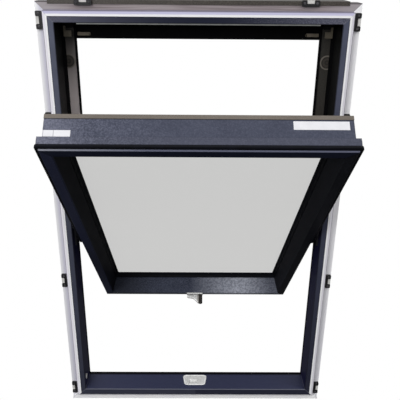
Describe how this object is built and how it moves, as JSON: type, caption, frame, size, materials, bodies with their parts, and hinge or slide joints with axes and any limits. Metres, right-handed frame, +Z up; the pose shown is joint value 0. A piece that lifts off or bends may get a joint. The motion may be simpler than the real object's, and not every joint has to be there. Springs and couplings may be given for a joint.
{
  "type": "roof window",
  "caption": "Upright centre-pivot roof window: a rectangular profiled frame with a double-glazed sash tilted open on side hinges, with a latch on its lower rail.",
  "frame": {"origin": "on the sill's flat underside, in the middle of the window's width and of the jambs' main depth", "axes": "+X to the right seen from the room, +Y outdoors through the frame, +Z up the window from sill to head"},
  "size_m": [0.783, 0.8007, 1.1862],
  "materials": {
    "white_pvc": "white moulded profile, satin gloss, with an anthracite foil on its inner faces",
    "anthracite_pvc": "anthracite foil with a fine grain",
    "cover_aluminium": "grey-brown powder coat, satin",
    "steel": "zinc plated",
    "hinge_steel": "dark plated steel",
    "black_rubber": "matt",
    "black_plastic": "fine moulded grain",
    "light_plastic": "satin",
    "beige_plastic": "satin",
    "silver_metal": "satin, cast",
    "spacer_aluminium": "mill finish",
    "glass": "clear float glass",
    "label_film": "blank white film"
  },
  "bodies": {
    "frame": {"frame_head": "white_pvc", "frame_sill": "white_pvc", "frame_left_jamb": "white_pvc", "frame_right_jamb": "white_pvc", "frame_steel": "steel", "jamb_cover_left": "cover_aluminium", "jamb_cover_right": "cover_aluminium", "head_cover": "cover_aluminium", "head_stop": "black_plastic", "head_strip": "light_plastic", "head_catches": "beige_plastic", "corner_blocks": "black_plastic", "corner_angles": "cover_aluminium", "jamb_seals": "black_rubber", "cover_rubbers": "black_rubber", "cover_bosses": "cover_aluminium", "sill_cover": "cover_aluminium", "lower_cover_left": "cover_aluminium", "lower_cover_right": "cover_aluminium", "lower_gaskets": "black_rubber", "clips_left": "black_plastic", "clips_right": "black_plastic", "clips_head": "black_plastic", "clip_inserts": "light_plastic", "striker_plate": "silver_metal", "striker_screws": "steel", "jamb_plug": "light_plastic", "frame_hinge_left": "hinge_steel", "frame_hinge_right": "hinge_steel", "frame_hinge_screws": "steel", "pivot_pins": "steel"},
    "sash": {"sash_top_rail": "anthracite_pvc", "sash_bottom_rail": "anthracite_pvc", "sash_left_stile": "anthracite_pvc", "sash_right_stile": "anthracite_pvc", "sash_steel": "steel", "sash_gasket": "black_rubber", "sash_lower_seal": "black_rubber", "inner_pane": "glass", "outer_pane": "glass", "spacer_bar": "spacer_aluminium", "edge_sealant": "black_rubber", "inner_glazing_gasket": "black_rubber", "outer_glazing_gasket": "black_rubber", "setting_blocks": "black_plastic", "sash_cover_top": "cover_aluminium", "sash_cover_bottom": "cover_aluminium", "sash_cover_left": "cover_aluminium", "sash_cover_right": "cover_aluminium", "cover_clips": "black_plastic", "sash_hinge_left": "hinge_steel", "sash_hinge_right": "hinge_steel", "sash_hinge_screws": "steel", "friction_washers": "light_plastic", "sash_labels": "label_film", "latch_plate": "silver_metal", "latch_screws": "steel"},
    "latch_handle": {"latch_handle": "silver_metal"},
    "latch_bolt": {"latch_bolt": "hinge_steel"}
  },
  "joints": [
    {"name": "sash_pivot", "type": "hinge", "parent": "frame", "child": "sash", "pos_m": [0, 0.016, 0.59], "axis": [1, 0, 0], "range_deg": [-43.5, 106.5]},
    {"name": "handle_turn", "type": "hinge", "parent": "sash", "child": "latch_handle", "pos_m": [0.018, 0.31697, 0.17115], "axis": [0, -0.7254, -0.6884], "range_deg": [0, 90]},
    {"name": "bolt_slide", "type": "slide", "parent": "sash", "child": "latch_bolt", "axis": [0, 0.6884, -0.7254], "range_m": [0, 0.014]}
  ],
  "couplings": [
    {"joint": "bolt_slide", "follows": "handle_turn", "m_per_rad": 0.0089126}
  ]
}
